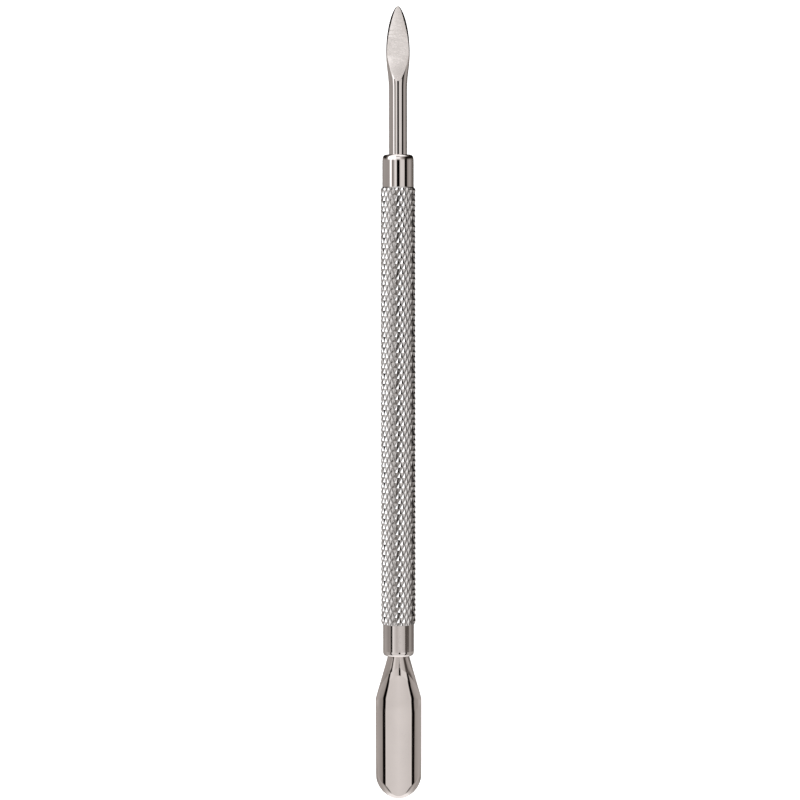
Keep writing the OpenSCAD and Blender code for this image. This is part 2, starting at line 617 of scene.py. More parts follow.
@dataclass(frozen=True)
class Steel:
    """What every finish is built on: bare metal with fine marks in it."""

    name: str
    slot: str

    def start(self) -> tuple[bpy.types.Material, Nodes, bpy.types.Node]:
        """Start the material.

        Returns:
            The material, the helper on its tree and its shader.
        """
        material = bpy.data.materials.new(self.name)
        material.use_nodes = True
        shader = material.node_tree.nodes["Principled BSDF"]
        shader.inputs["Metallic"].default_value = 1.0
        return material, Nodes(material.node_tree), shader

    @staticmethod
    def use(n: Nodes, group: bpy.types.NodeTree, **values: float) -> bpy.types.Node:
        """Add one of the shared effects.

        Args:
            n: Helper on the material's tree.
            group: The effect.
            **values: Its inputs.

        Returns:
            The node.
        """
        node = n.add("ShaderNodeGroup")
        node.node_tree = group
        for key, value in values.items():
            node.inputs[key].default_value = value
        return node

    @staticmethod
    def tint(
        n: Nodes, shader: bpy.types.Node, share: bpy.types.NodeSocket, first: Colour, second: Colour
    ) -> None:
        """Colour the metal with a mix of two colours.

        Args:
            n: Helper on the material's tree.
            shader: The shader.
            share: Share of the second colour.
            first: The first colour.
            second: The second colour.
        """
        mixed = n.add("ShaderNodeMix", data_type="RGBA")
        mixed.inputs["A"].default_value = (*first, 1.0)
        mixed.inputs["B"].default_value = (*second, 1.0)
        n.link(share, mixed.inputs["Factor"])
        n.link(mixed.outputs["Result"], shader.inputs["Base Color"])

    @staticmethod
    def drifted(colour: Colour, drift: float) -> Colour:
        """Darken a colour a little.

        Args:
            colour: The colour.
            drift: How much it loses, as a share.

        Returns:
            The darker colour.
        """
        return tuple(c * (1.0 - drift) for c in colour)

    @staticmethod
    def marks(n: Nodes, shader: bpy.types.Node, height: bpy.types.NodeSocket, depth: float) -> None:
        """Press fine marks into the surface.

        Args:
            n: Helper on the material's tree.
            shader: The shader.
            height: The marks.
            depth: Their depth in metres.
        """
        bump = n.add("ShaderNodeBump")
        bump.inputs["Strength"].default_value = 1.0
        bump.inputs["Distance"].default_value = depth
        n.link(height, bump.inputs["Height"])
        n.link(bump.outputs["Normal"], shader.inputs["Normal"])


@dataclass(frozen=True)
class PolishedSteel(Steel):
    """Mirror-polished stainless steel with faint wheel marks and a wiped film."""

    colour: Colour
    roughness: float = 0.02
    film_roughness: float = 0.035
    film_scale: float = 260.0
    marks_along: float = 500.0
    marks_across: float = 14000.0
    marks_share: float = 0.25
    marks_depth: float = 0.00000015
    colour_drift: float = 0.04

    def build(self) -> bpy.types.Material:
        """Make the material.

        Returns:
            The material.
        """
        material, n, shader = self.start()
        lines = self.use(n, Effects.fine_lines(), Along=self.marks_along, Across=self.marks_across)
        film = self.use(n, Effects.soft_film(), Scale=self.film_scale)
        rough = n.math("MULTIPLY_ADD", film.outputs["Mask"], self.film_roughness, self.roughness)
        rough = n.math("MULTIPLY_ADD", lines.outputs["Mask"], self.marks_share * self.film_roughness, rough)
        n.link(rough, shader.inputs["Roughness"])
        self.tint(n, shader, film.outputs["Mask"], self.colour, self.drifted(self.colour, self.colour_drift))
        self.marks(n, shader, lines.outputs["Height"], self.marks_depth)
        return material


@dataclass(frozen=True)
class GroundSteel(Steel):
    """Finely ground stainless steel: satin, with a short dense grain along the blade."""

    colour: Colour
    roughness: float = 0.26
    grain_roughness: float = 0.12
    grain_along: float = 2600.0
    grain_across: float = 5200.0
    grain_depth: float = 0.0000012
    colour_drift: float = 0.1

    def build(self) -> bpy.types.Material:
        """Make the material.

        Returns:
            The material.
        """
        material, n, shader = self.start()
        lines = self.use(n, Effects.fine_lines(), Along=self.grain_along, Across=self.grain_across)
        rough = n.math("MULTIPLY_ADD", lines.outputs["Mask"], self.grain_roughness, self.roughness)
        n.link(rough, shader.inputs["Roughness"])
        self.tint(n, shader, lines.outputs["Mask"], self.colour, self.drifted(self.colour, self.colour_drift))
        self.marks(n, shader, lines.outputs["Height"], self.grain_depth)
        return material


@dataclass(frozen=True)
class KnurledSteel(Steel):
    """Knurled stainless steel: bright crests and slightly duller grooves, with painted shade darkening the grooves.
    """

    crest_colour: Colour
    # Painted shade: the base colour at the groove roots is darker than the crest colour and stands in for the shade
    # in the grooves.
    groove_shade_colour: Colour
    axis: float
    root: float
    crest: float
    crest_roughness: float = 0.05
    groove_roughness: float = 0.2
    dull_up_to: float = 0.05
    bright_from: float = 0.6
    shade_ends_at: float = 0.45
    marks_along: float = 2500.0
    marks_across: float = 6000.0
    marks_roughness: float = 0.06
    marks_depth: float = 0.0000002

    def build(self) -> bpy.types.Material:
        """Make the material.

        Returns:
            The material.
        """
        material, n, shader = self.start()
        cut = self.use(n, Effects.groove_depth(), Axis=self.axis, Root=self.root, Crest=self.crest)
        depth = cut.outputs["Mask"]
        lines = self.use(n, Effects.fine_lines(), Along=self.marks_along, Across=self.marks_across)
        rough = n.span(depth, self.dull_up_to, self.bright_from, self.groove_roughness, self.crest_roughness)
        rough = n.math("MULTIPLY_ADD", lines.outputs["Mask"], self.marks_roughness, rough)
        n.link(rough, shader.inputs["Roughness"])
        # Painted shade: the base colour goes from the dark groove colour at the roots to the crest colour partway
        # up the flanks.
        unshaded_share = n.span(depth, 0.0, self.shade_ends_at, 0.0, 1.0)
        self.tint(n, shader, unshaded_share, self.groove_shade_colour, self.crest_colour)
        self.marks(n, shader, lines.outputs["Height"], self.marks_depth)
        return material


def dress(obj: bpy.types.Object, *materials: bpy.types.Material) -> None:
    """Give a piece its materials.

    Args:
        obj: The piece.
        *materials: One per material slot, in order.
    """
    obj.data.materials.clear()
    for material in materials:
        obj.data.materials.append(material)


# ---------------------------------------------------------------- sub-assemblies


@dataclass
class Grip:
    """The knurled handle tube."""

    finish: KnurledSteel
    axis: float = AXIS
    crest_r: float = 2.998 * MM
    depth: float = 0.215 * MM
    length: float = 75.5 * MM
    starts: int = 20
    row_pitch: float = 0.8945 * MM
    row_shift: float = 0.575
    spare: float = 1.2 * MM
    land: float = 0.22 * MM
    lip: float = 0.12 * MM
    round_len: float = 0.85 * MM
    round_depth: float = 0.4 * MM
    blank_over: float = 0.03 * MM
    round_steps: int = 8
    around: int = 160
    insets: tuple[tuple[float, float], ...] = ((0.03, 0.02), (0.41, 0.95))
    peak: float = 0.03
    seam: float = 0.002 * MM
    tight: float = 0.001 * MM
    cap_r: float = 0.01 * MM
    crisp_over: float = 18.0

    @property
    def root_r(self) -> float:
        """Radius at the bottom of the grooves."""
        return self.crest_r - self.depth

    def _tooth(self) -> bpy.types.Object:
        """Model one diamond of the knurl on a unit square.

        Returns:
            The diamond, with its height in metres and its sides 1 long.
        """
        Bench.clear()
        bpy.ops.mesh.primitive_plane_add(size=1.0)
        tooth = Bench.named("knurled_grip")
        Bench.edit(tooth, "FACE")
        for inset, rise in self.insets:
            bpy.ops.mesh.inset(thickness=inset, depth=rise * self.depth)
        bpy.ops.mesh.poke(offset=self.peak * self.depth)
        bpy.ops.object.mode_set(mode="OBJECT")
        return tooth

    def _shape_tooth(self, tooth: bpy.types.Object) -> None:
        """Stretch the square diamond to the slanted one of the knurl, standing up with its crest towards -Y.

        Any slant is a turn, a stretch along two axes and another turn.

        Args:
            tooth: The diamond.
        """
        wide = math.tau * self.root_r / self.starts
        a, b = (1.0 - self.row_shift) * wide, self.row_shift * wide
        c, d = -self.row_pitch, self.row_pitch
        e, f, g, h = (a + d) / 2, (a - d) / 2, (c + b) / 2, (c - b) / 2
        big, small = math.hypot(e, h), math.hypot(f, g)
        turn_1, turn_2 = math.atan2(g, f), math.atan2(h, e)
        Bench.place(tooth, turn=(0.0, 0.0, (turn_2 - turn_1) / 2))
        Bench.place(tooth, size=(big + small, big - small, 1.0))
        Bench.place(tooth, turn=(0.0, 0.0, (turn_2 + turn_1) / 2))
        Bench.place(tooth, turn=(RIGHT_ANGLE, 0.0, 0.0))

    def _roll(self) -> bpy.types.Object:
        """Repeat the diamond to a sheet and roll the sheet round the handle's axis.

        Returns:
            The rolled skin, closed at both ends beyond the handle's length.
        """
        skin = self._tooth()
        self._shape_tooth(skin)
        wide = math.tau * self.root_r / self.starts
        rows = int((self.length + 2.0 * self.spare) / self.row_pitch) + 1
        Bench.array(skin, (wide, 0.0, 0.0), self.starts)
        Bench.array(skin, (self.row_shift * wide, 0.0, self.row_pitch), rows)
        Bench.place(skin, at=(0.0, 0.0, -0.5 * (rows - 1) * self.row_pitch))
        Bench.edit(skin)
        bpy.ops.mesh.remove_doubles(threshold=self.seam)
        bpy.ops.object.mode_set(mode="OBJECT")
        xs = [v.co.x for v in skin.data.vertices]
        roll = skin.modifiers.new("roll", "SIMPLE_DEFORM")
        roll.deform_method = "BEND"
        roll.deform_axis = "Z"
        roll.angle = (max(xs) - min(xs)) / self.root_r
        Bench.apply(skin)
        Bench.place(skin, at=(0.0, -self.root_r, 0.0))
        Bench.place(skin, turn=(-RIGHT_ANGLE, 0.0, 0.0))
        Bench.place(skin, at=(0.0, 0.0, self.axis))
        Bench.edit(skin)
        bpy.ops.mesh.remove_doubles(threshold=self.seam)
        bpy.ops.mesh.select_all(action="DESELECT")
        bpy.ops.mesh.select_non_manifold()
        bpy.ops.mesh.extrude_region_move(TRANSFORM_OT_translate={"value": (0.0, 0.0, 0.0)})
        bpy.ops.transform.resize(value=(0.0, 1.0, 0.0), center_override=(0.0, 0.0, self.axis))
        Bench.close(skin, self.tight)
        for sign in (1.0, -1.0):
            Bench.edit(skin)
            Bench.pick_verts(
                skin, lambda c, s=sign: math.hypot(c.x, c.z - self.axis) < self.cap_r and c.y * s > 0
            )
            bpy.ops.mesh.merge(type="CENTER")
            bpy.ops.object.mode_set(mode="OBJECT")
        Bench.close(skin, self.tight)
        return skin

    def _blank(self) -> bpy.types.Object:
        """Turn the blank that trims both ends of the knurl.

        Returns:
            The blank, a little over the crests along its length.
        """
        over = self.crest_r + self.blank_over
        half = self.length / 2
        turns = [RIGHT_ANGLE * i / self.round_steps for i in range(self.round_steps + 1)]
        profile = [(0.0, -half)]
        profile += [
            (over - self.round_depth * (1.0 - math.sin(a)), -half + self.round_len * (1.0 - math.cos(a)))
            for a in turns
        ]
        profile += [(over, half - self.land), (self.root_r, half - self.land)]
        profile += [(self.root_r - self.lip, half), (0.0, half)]
        return Bench.turned("blank", profile, self.axis, self.around)

    def build(self) -> list[bpy.types.Object]:
        """Knurl the handle and trim its ends.

        Returns:
            The handle, in a list.
        """
        grip = self._roll()
        Bench.cut_with(grip, self._blank(), "INTERSECT", "MANIFOLD")
        Bench.close(grip)
        Bench.smooth(grip, self.crisp_over)
        dress(grip, self.finish.build())
        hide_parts("grip_tube")
        return [grip]


@dataclass
class Collar:
    """A plain turned collar with a rounded shoulder."""

    finish: PolishedSteel
    end: End
    node: str
    axis: float = AXIS
    barrel_r: float = 2.69 * MM
    inner: float = 36.5 * MM
    start: float = 37.75 * MM
    outer: float = 43.25 * MM
    shoulder_w: float = 0.95 * MM
    shoulder_h: float = 0.9 * MM
    shoulder_power: float = 3.0
    seat_r: float = 1.1 * MM
    land: float = 0.02 * MM
    lead_w: float = 0.5 * MM
    lead_len: float = 0.3 * MM
    arc: int = 24
    steps: int = 160
    crisp_over: float = 35.0

    def build(self) -> list[bpy.types.Object]:
        """Turn the collar.

        Returns:
            The collar, in a list.
        """
        side = self.end.value
        share = 2.0 / self.shoulder_power
        turns = [RIGHT_ANGLE * i / self.arc for i in range(self.arc + 1)]
        profile = [(0.0, self.inner), (self.barrel_r - self.lead_w, self.inner)]
        profile += [(self.barrel_r, self.inner + self.lead_len), (self.barrel_r, self.start)]
        profile += [(self.barrel_r, self.outer - self.shoulder_h - self.land)]
        profile += [
            (
                self.barrel_r - self.shoulder_w * (1.0 - max(0.0, math.cos(a)) ** share),
                self.outer - self.shoulder_h * (1.0 - math.sin(a) ** share),
            )
            for a in turns
        ]
        profile += [(self.seat_r, self.outer), (0.0, self.outer)]
        profile = [(radius, station * side) for radius, station in profile]
        collar = Bench.turned(self.node + "_barrel", profile, self.axis, self.steps)
        Bench.smooth(collar, self.crisp_over)
        dress(collar, self.finish.build())
        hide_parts(self.node)
        return [collar]


@dataclass
class Spear:
    """The leaf-shaped spear: a round shank that swells to a blade, ground flat on top."""

    steel: PolishedSteel
    ground: GroundSteel
    axis: float = AXIS
    inner: float = 42.4 * MM
    root: float = 54.45 * MM
    face_start: float = 55.8 * MM
    widest: float = 60.55 * MM
    point: float = 68.649 * MM
    shank_r: float = 1.55 * MM
    leaf_half: float = 2.025 * MM
    tip_half: float = 0.1 * MM
    crown_height: float = 1.1 * MM
    face_height: float = 0.42 * MM
    rim_share: float = 0.74
    nose: float = 0.6 * MM
    nose_share: float = 0.95
    point_thick: float = 0.4 * MM
    leaf_power: float = 0.6
    face_power: float = 1.5
    back_power: float = 1.7
    run_out: float = 0.5
    supports: tuple[float, ...] = (0.4 * MM, 0.05 * MM)
    collar_support: float = 0.1 * MM
    cutter_steps: int = 48
    cutter_ahead: float = 0.4 * MM
    face_ahead: float = 0.2 * MM
    cutter_high: float = 3.0 * MM
    cutter_half: float = 4.0 * MM
    face_near: float = 0.05 * MM
    face_level: float = 0.9
    around: int = 128
    rings: int = 70
    edge: float = 0.015 * MM
    break_over: float = 24.0
    crisp_over: float = 14.0

    def half(self, y: float) -> float:
        """Half of the blade's width.

        Args:
            y: The station.

        Returns:
            The half-width.
        """
        if y <= self.widest:
            return mix(self.shank_r, self.leaf_half, ease((y - self.root) / (self.widest - self.root)))
        u = (y - self.widest) / (self.point - self.widest)
        return max(self.tip_half, self.leaf_half * max(0.0, 1.0 - u * u) ** self.leaf_power)

    def _toward_point(self, y: float) -> float:
        """How far the blade has turned from its widest place to its point.

        Args:
            y: The station.

        Returns:
            0 up to the widest place and 1 at the point.
        """
        return ease((y - self.widest) / (self.point - self.widest))

    def crown(self, y: float) -> float:
        """Height of the forged top over the blade's widest line.

        Args:
            y: The station.

        Returns:
            The height.
        """
        if y > self.widest:
            return self.half(y) * mix(self.crown_height / self.leaf_half, 1.0, self._toward_point(y))
        t = ease((y - self.face_start) / (self.widest - self.face_start))
        return mix(self.shank_r, self.crown_height, t)

    def cut(self, y: float) -> float:
        """Share of the crown that is left under the ground face.

        Args:
            y: The station.

        Returns:
            The share.
        """
        least = self.face_height / self.crown_height
        if y > self.widest:
            rim = mix(least, self.rim_share, self._toward_point(y))
            return mix(rim, self.nose_share, ease((y - self.point + self.nose) / self.nose))
        v = (self.widest - y) / (self.widest - self.face_start)
        return math.sqrt(mix(least * least, 1.0, v * (v + self.run_out) / (1.0 + self.run_out)))

    def face(self, y: float) -> float:
        """Height of the ground face over the handle's axis.

        Args:
            y: The station.

        Returns:
            The height.
        """
        if y > self.widest:
            u = max(0.0, self.point - y) / (self.point - self.widest)
            return mix(self.face_height, -self.point_thick / 2, 1.0 - u**self.face_power)
        return self.crown(y) * self.cut(y)

    def section(self, y: float) -> Oval:
        """The blade's section before it is ground.

        Args:
            y: The station.

        Returns:
            The oval.
        """
        t = max(0.0, (y - self.root) / (self.point - self.root))
        waist = self.face(y) - self.cut(y) * self.crown(y) if y > self.widest else 0.0
        back = mix(-self.shank_r, -1.5 * self.point_thick, t**self.back_power)
        return Oval(y, self.half(y), self.crown(y), self.axis + waist, waist - back)

    def _stations(self) -> list[float]:
        """Stations of the sections, closer together towards the point.

        Returns:
            The stations.
        """
        shares = [math.sin(RIGHT_ANGLE * i / self.rings) for i in range(self.rings + 1)]
        shank = [self.inner, self.inner + self.collar_support] + [self.root - d for d in self.supports]
        return shank + [mix(self.root, self.point, share) for share in shares]

    def _grinder(self) -> bpy.types.Object:
        """Make the cutter that grinds the top of the blade.

        Returns:
            The cutter.
        """
        first, last = self.face_start - self.cutter_ahead, self.point + MM
        stations = [mix(first, last, i / self.cutter_steps) for i in range(self.cutter_steps + 1)]
        line = [(y, self.axis + self.face(y)) for y in stations]
        high = self.axis + self.cutter_high
        return Bench.slab("grinder", line + [(last, high), (first, high)], self.cutter_half)

    def _on_face(self, place: Vector) -> bool:
        """Say whether a place lies on the ground face.

        Args:
            place: The place.

        Returns:
            True if it does.
        """
        off = abs(place.z - self.axis - self.face(place.y))
        return place.y > self.face_start - self.face_ahead and off < self.face_near

    def build(self) -> list[bpy.types.Object]:
        """Forge the bar, grind its face and break its edges.

        Returns:
            The spear, in a list.
        """
        spear = Bench.loft("spear_blade", [self.section(y) for y in self._stations()], self.around)
        Bench.cut_with(spear, self._grinder(), "DIFFERENCE")
        Bench.close(spear)
        Bench.soften(spear, self.edge, self.break_over)
        Bench.smooth(spear, self.crisp_over)
        dress(spear, self.steel.build(), self.ground.build())
        for p in spear.data.polygons:
            if p.normal.z > self.face_level and self._on_face(p.center):
                p.material_index = 1
        Bench.part_finishes(spear)
        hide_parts("spear_tip")
        return [spear]


@dataclass
class Spoon:
    """The spoon-shaped pusher: a round neck that flares to a curved shell with a rounded end.

    Its section changes from a disc to a thin shell all along its length, which no primitive
    gives, so one half is laid out point by point and mirrored.
    """

    steel: PolishedSteel
    axis: float = AXIS
    inner: float = 42.4 * MM
    start: float = 43.25 * MM
    length: float = 25.4 * MM
    neck_r: float = 1.85 * MM
    half_w: float = 3.975 * MM
    flare: float = 7.6 * MM
    back_r: float = 5.4 * MM
    back_h: float = 1.25 * MM
    wall: float = 0.8 * MM
    edge_wall: float = 0.3 * MM
    rim_land: float = 0.5 * MM
    scoop_len: float = 13.0 * MM
    straight: float = 2.2 * MM
    bend_start: float = 1.5 * MM
    bevel_from: float = 60.5 * MM
    bevel_end: float = 0.5 * MM
    bevel_side: float = 1.15 * MM
    bevel_slope: float = 0.55
    bevel_least: float = 0.02 * MM
    bevel_share: float = 0.4
    bevel_seen: float = 0.05 * MM
    bevel_flat: float = 0.55
    flare_share: float = 0.85
    end_wall: float = 0.45 * MM
    least_wall: float = 0.12 * MM
    rows: int = 70
    spokes: int = 28
    across: int = 26
    bevel_steps: int = 4
    tight: float = 0.0005 * MM
    edge: float = 0.04 * MM
    break_over: float = 28.0
    crisp_over: float = 24.0

    @property
    def round_start(self) -> float:
        """Distance from the handle's middle to where the rounded end begins."""
        return self.start + self.length - self.half_w

    @property
    def sag(self) -> float:
        """How much lower the back is at the sides of the body."""
        return self.back_r - math.sqrt(self.back_r**2 - self.half_w**2)

    @property
    def slope(self) -> float:
        """Slope of the bent centre line, with the rims resting on the table."""
        rest = self.round_start + math.sqrt(self.half_w**2 - (self.half_w - self.rim_land) ** 2)
        fall = self.axis - self.sag - self.edge_wall + self.back_h
        return fall / (rest - self.start - self.straight - self.bend_start)

    def half(self, s: float) -> float:
        """Half of the width at a distance from the handle's middle, before the rounded end.

        Args:
            s: The distance.

        Returns:
            The half-width.
        """
        return mix(self.neck_r, self.half_w, min(1.0, max(0.0, s - self.start) / self.flare))

    def spread(self, s: float) -> float:
        """How far the neck has turned into the body.

        Args:
            s: Distance from the handle's middle.

        Returns:
            0 at the neck and 1 in the body.
        """
        return ease((s - self.start) / self.flare)

    def curve(self, s: float) -> float:
        """Radius of the back across the tool.

        Args:
            s: Distance from the handle's middle.

        Returns:
            The radius.
        """
        t = min(1.0, max(0.0, s - self.start) / self.flare)
        return mix(self.neck_r, self.back_r, t * mix(self.flare_share, 1.0, self.spread(s)))

    def crest(self, s: float) -> float:
        """Height of the middle of the back over the table.

        Args:
            s: Distance from the handle's middle.

        Returns:
            The height.
        """
        d = max(0.0, s - self.start - self.straight)
        bent = d * d / (4 * self.bend_start) if d < 2 * self.bend_start else d - self.bend_start
        return self.axis - self.slope * bent + mix(self.neck_r, self.back_h, ease(d / self.flare))

    def top(self, s: float, x: float) -> float:
        """Height of the back.

        Args:
            s: Distance from the handle's middle.
            x: Distance from the centre line.

        Returns:
            The height.
        """
        r = max(self.curve(s), abs(x))
        return self.crest(s) - r + math.sqrt(max(0.0, r * r - x * x))

    def under(self, s: float, x: float) -> float:
        """Height of the underside, with its scoop.

        Args:
            s: Distance from the handle's middle.
            x: Distance from the centre line.

        Returns:
            The height.
        """
        g = ease((s - self.start) / self.scoop_len)
        w = self.half_w if s > self.round_start else self.half(s)
        reach = mix(w, w - self.rim_land, g)
        if s > self.round_start:
            rim = self.crest(s) - self.sag - self.edge_wall
        else:
            rim = self.top(s, w) - self.edge_wall * self.spread(s)
        thin = ease((s - self.round_start + self.half_w) / (2 * self.half_w))
        thick = mix(self.wall, self.end_wall, thin)
        middle = mix(-self.neck_r, self.crest(s) - rim - thick, g)
        return rim + middle * max(0.0, 1.0 - (x / reach) ** 2) ** mix(0.5, 1.0, g)

    def bevel(self, s: float, turn: float) -> float:
        """Width of the ground bevel round the end.

        Args:
            s: Distance from the handle's middle, on the centre line.
            turn: Angle of the spoke, 90 degrees in the body and 0 at the tip.

        Returns:
            The width.
        """
        side = self.bevel_share * self.bevel_side
        if s < self.round_start:
            along = (s - self.bevel_from) / (self.round_start - self.bevel_from)
            return mix(self.bevel_least, side, ease(along))
        lean = max(0.0, math.sin(2.0 * turn)) ** 2
        return mix(mix(self.bevel_end, side, turn / RIGHT_ANGLE), self.bevel_side, lean)

    def _spoke(self, s: float, turn: float) -> list[Point]:
        """Points out from the centre line to the edge: distance across, distance along and drop of the bevel.

        Args:
            s: Distance from the handle's middle of the spoke's root.
            turn: Angle of the spoke.

        Returns:
            For each point: x, s and how far the bevel lowers it.
        """
        in_body = s < self.round_start
        reach = self.half(s) if in_body else self.half_w
        b = self.bevel(s, turn)
        r = self.curve(s)
        widest = math.asin(min(1.0, (reach - b) / r))
        out = []
        for j in range(self.across + self.bevel_steps + 1):
            if j <= self.across:
                d, t = r * math.sin(widest * j / self.across), 0.0
            else:
                t = (j - self.across) / self.bevel_steps
                d = reach - b * (1.0 - t)
            drop = self.bevel_slope * b * t * mix(self.bevel_flat, 1.0, t) if b > self.bevel_seen else 0.0
            out.append((d * math.sin(turn), s if in_body else s + d * math.cos(turn), drop))
        return out

    def _half_shell(self) -> bpy.types.Object:
        """Lay out the right half of the neck and spoon.

        Returns:
            The half, open along the centre plane.
        """
        roots = [(self.inner, RIGHT_ANGLE)]
        roots += [(mix(self.start, self.round_start, i / self.rows), RIGHT_ANGLE) for i in range(self.rows)]
        roots += [(self.round_start, RIGHT_ANGLE * (1.0 - i / self.spokes)) for i in range(self.spokes + 1)]
        verts, faces = [], []
        lines = [self._spoke(s, turn) for s, turn in roots]
        per = len(lines[0])
        for line in lines:
            verts += [(x, -s, self.top(s, x) - drop) for x, s, drop in line]
        for line in lines:
            for x, s, drop in line:
                top = self.top(s, x) - drop
                least = self.least_wall * self.spread(s)
                verts.append((x, -s, min(self.under(s, x), top - least)))
        under = len(lines) * per
        for i in range(len(lines) - 1):
            for j in range(per - 1):
                a, b = i * per + j, (i + 1) * per + j
                faces.append((a, a + 1, b + 1, b))
                faces.append((under + a, under + b, under + b + 1, under + a + 1))
            a, b = i * per + per - 1, (i + 1) * per + per - 1
            faces.append((a, under + a, under + b, b))
        faces.append(tuple(range(per)) + tuple(under + j for j in reversed(range(per))))
        mesh = bpy.data.meshes.new("pusher_spoon")
        mesh.from_pydata(verts, [], faces)
        obj = bpy.data.objects.new("pusher_spoon", mesh)
        bpy.context.collection.objects.link(obj)
        return obj

    def build(self) -> list[bpy.types.Object]:
        """Lay out half of the spoon, mirror it and break its edges.

        Returns:
            The spoon, in a list.
        """
        spoon = self._half_shell()
        Bench.close(spoon, self.tight)
        other = spoon.modifiers.new("other_half", "MIRROR")
        other.use_axis = (True, False, False)
        other.use_mirror_merge = True
        other.merge_threshold = 2.0 * self.tight
        Bench.apply(spoon)
        Bench.close(spoon, self.tight)
        Bench.soften(spoon, self.edge, self.break_over)
        Bench.smooth(spoon, self.crisp_over)
        dress(spoon, self.steel.build())
        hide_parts("spoon_tip")
        return [spoon]


# ---------------------------------------------------------------- studio


@dataclass(frozen=True)
class Band:
    """One stop of the light round the tool: an angle from straight up, to the right, and a brightness."""

    degrees: float
    level: float


@dataclass(frozen=True)
class Zone:
    """A stretch of the room along the tool: where it has taken over, as a share of the way to +Y, and its light."""

    begins: float
    full: float
    bands: tuple[Band, ...]


def bands(*pairs: tuple[float, float]) -> tuple[Band, ...]:
    """Write a row of light stops briefly.

    Args:
        *pairs: Angle and brightness of each stop, in order.

    Returns:
        The stops.
    """
    return tuple(Band(degrees, level) for degrees, level in pairs)


ROOM = (
    Zone(-1.0, -1.0, bands((-180, 1.05), (180, 1.05))),
    Zone(
        -0.75, -0.62,
        bands(
            (-180, 0.4), (-108, 0.4), (-98, 0.45), (-88, 0.5), (-78, 0.36), (-65, 0.32), (-62.5, 0),
            (-52.5, 0), (-50, 0.76), (-46, 0.68), (-20, 0.71), (0, 0.74), (20, 0.71), (46, 0.66),
            (50, 0.76), (52.5, 0), (62, 0), (65, 0.32), (78, 0.36), (88, 0.5), (98, 0.45), (108, 0.4),
            (180, 0.4),
        ),
    ),
    Zone(
        -0.5, -0.38,
        bands(
            (-180, 0.1), (-136, 0.1), (-118, 0.36), (-98, 0.48), (-88, 0.52), (-78, 0.37), (-65, 0.33),
            (-62.5, 0), (-52.5, 0), (-50, 0.8), (-46, 0.7), (-20, 0.74), (0, 0.79), (20, 0.74),
            (46, 0.68), (50, 0.8), (52.5, 0), (62, 0), (65, 0.33), (78, 0.37), (88, 0.52), (98, 0.48),
            (118, 0.3), (136, 0.06), (180, 0.06),
        ),
    ),
    Zone(
        -0.36, -0.33,
        bands(
            (-180, 0.3), (-100, 0.42), (-88, 0.45), (-78, 0.4), (-66, 0.38), (-62, 0), (-54, 0),
            (-51, 0.8), (-46, 0.8), (-8, 0.66), (1, 0.6), (3, 0), (13, 0), (15, 0.7), (20, 0.8),
            (46, 0.8), (51, 0.8), (55, 0), (64, 0), (67, 0.36), (78, 0.42), (88, 0.45), (100, 0.42),
            (180, 0.3),
        ),
    ),
    Zone(
        -0.1615, -0.1605,
        bands(
            (-180, 0.4), (-125, 0.34), (-113, 0.43), (-100, 0.38), (-80, 0.29), (-70, 0.33), (-61, 0.3),
            (-58, 0), (-48, 0), (-44, 0.75), (-37, 0.86), (-29, 0.67), (-14, 0.52), (-7, 0.55),
            (8, 0.7), (38, 0.58), (48, 0.5), (52, 0.1), (78, 0.1), (86, 0.2), (91, 0.4), (102, 0.33),
            (116, 0.23), (135, 0.17), (180, 0.3),
        ),
    ),
    Zone(
        -0.09, -0.01,
        bands(
            (-180, 0.05), (-168, 0.08), (-150, 0.32), (-127, 0.38), (-90, 0.36), (-66, 0.36),
            (-60, 1.35), (-49, 1.35), (-45, 0.25), (-37, 0.2), (-30, 0.5), (-22, 0.88), (-11, 0.84),
            (-8, 0), (10, 0), (14, 0.6), (22, 0.78), (47, 0.7), (51, 0), (68, 0), (73, 0.28),
            (80, 0.35), (100, 0.46), (113, 0.28), (128, 0.18), (150, 0.1), (180, 0.05),
        ),
    ),
    Zone(
        0.09, 0.22,
        bands(
            (-180, 0.02), (-105, 0.02), (-85, 0.4), (-76, 2.0), (-24, 2.0), (-14, 1.05), (10, 1.05),
            (22, 0.6), (36, 0.3), (50, 0.12), (60, 0.01), (180, 0.01),
        ),
    ),
    Zone(
        0.52, 0.62,
        bands(
            (-180, 0.08), (-105, 0.08), (-90, 0.4), (-60, 1.3), (-25, 1.3), (-12, 0.3), (10, 0.3),
            (20, 0.9), (60, 0.9), (90, 0.3), (105, 0.06), (180, 0.06),
        ),
    ),
    Zone(0.78, 0.86, bands((-180, 0.1), (-115, 0.1), (-100, 1.4), (100, 1.4), (115, 0.1), (180, 0.1))),
)


